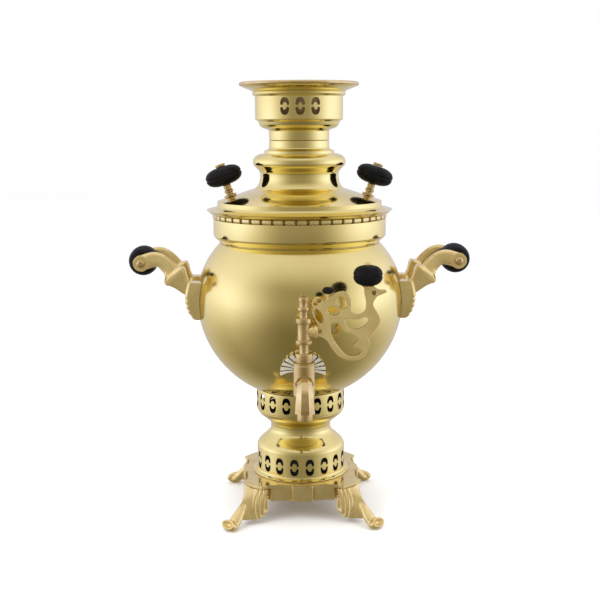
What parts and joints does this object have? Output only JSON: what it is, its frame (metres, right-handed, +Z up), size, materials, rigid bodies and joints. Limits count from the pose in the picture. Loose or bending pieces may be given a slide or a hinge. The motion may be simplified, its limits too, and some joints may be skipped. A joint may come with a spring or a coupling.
{
  "type": "samovar",
  "caption": "Charcoal samovar of brass: footed base with vents, round belly, side handles, turning tap with a bird-shaped lever, lift-off lid and teapot crown.",
  "frame": {"origin": "On the ground, under the middle between the spout's front and the belly's rear; the belly's axis stands 23.6 mm behind it.", "axes": "+Z up through the crown, -Y towards the tap's spout, +X towards the right handle, where the tap's lever points at rest."},
  "size_m": [0.3804, 0.2778, 0.4814],
  "materials": {
    "polished_brass": "polished spun sheet",
    "cast_brass": "cast and brushed",
    "pale_brass": "worn cast",
    "black_plastic": "turned and painted black",
    "dark_iron": "sooted"
  },
  "bodies": {
    "stand": {"base_plate": "cast_brass", "leg_front_left": "cast_brass", "leg_front_right": "cast_brass", "leg_rear_left": "cast_brass", "leg_rear_right": "cast_brass", "leg_screw_front_left": "dark_iron", "leg_screw_front_right": "dark_iron", "leg_screw_rear_left": "dark_iron", "leg_screw_rear_right": "dark_iron", "pedestal": "polished_brass", "upper_vent_ring": "polished_brass", "belly_vessel": "polished_brass", "neck_band": "polished_brass", "dentil_ring": "polished_brass", "fire_tube": "cast_brass", "grate": "dark_iron", "bracket_left_front": "cast_brass", "bracket_left_rear": "cast_brass", "bracket_right_front": "cast_brass", "bracket_right_rear": "cast_brass", "bracket_nut_left_front": "cast_brass", "bracket_nut_left_rear": "cast_brass", "bracket_nut_right_front": "cast_brass", "bracket_nut_right_rear": "cast_brass", "grip_left": "black_plastic", "grip_right": "black_plastic", "grip_rod_left": "cast_brass", "grip_rod_right": "cast_brass", "grip_nut_left": "cast_brass", "grip_nut_right": "cast_brass", "tap_escutcheon": "pale_brass", "tap_body": "cast_brass", "spout_nozzle": "cast_brass", "tap_lock_washer": "cast_brass", "tap_lock_nut": "cast_brass"},
    "key": {"tap_key": "cast_brass", "key_lever": "cast_brass", "key_knob": "black_plastic", "key_knob_screw": "cast_brass", "key_thumb_knob": "black_plastic", "plug_washer": "cast_brass", "plug_nut": "cast_brass"},
    "lid": {"lid": "polished_brass", "lid_knob_left": "black_plastic", "lid_knob_right": "black_plastic", "lid_knob_stem_left": "cast_brass", "lid_knob_stem_right": "cast_brass", "lid_knob_screw_left": "cast_brass", "lid_knob_screw_right": "cast_brass", "lid_knob_nut_left": "cast_brass", "lid_knob_nut_right": "cast_brass"},
    "crown": {"crown": "polished_brass"}
  },
  "joints": [
    {"name": "tap_turn", "type": "hinge", "parent": "stand", "child": "key", "pos_m": [0, -0.1084, 0.18], "axis": [0, 0, 1], "range_deg": [-180, 0]},
    {"name": "lid_lift", "type": "slide", "parent": "stand", "child": "lid", "axis": [0, 0, 1], "range_m": [0, 0.112]},
    {"name": "crown_lift", "type": "slide", "parent": "lid", "child": "crown", "axis": [0, 0, 1], "range_m": [0, 0.03]}
  ]
}
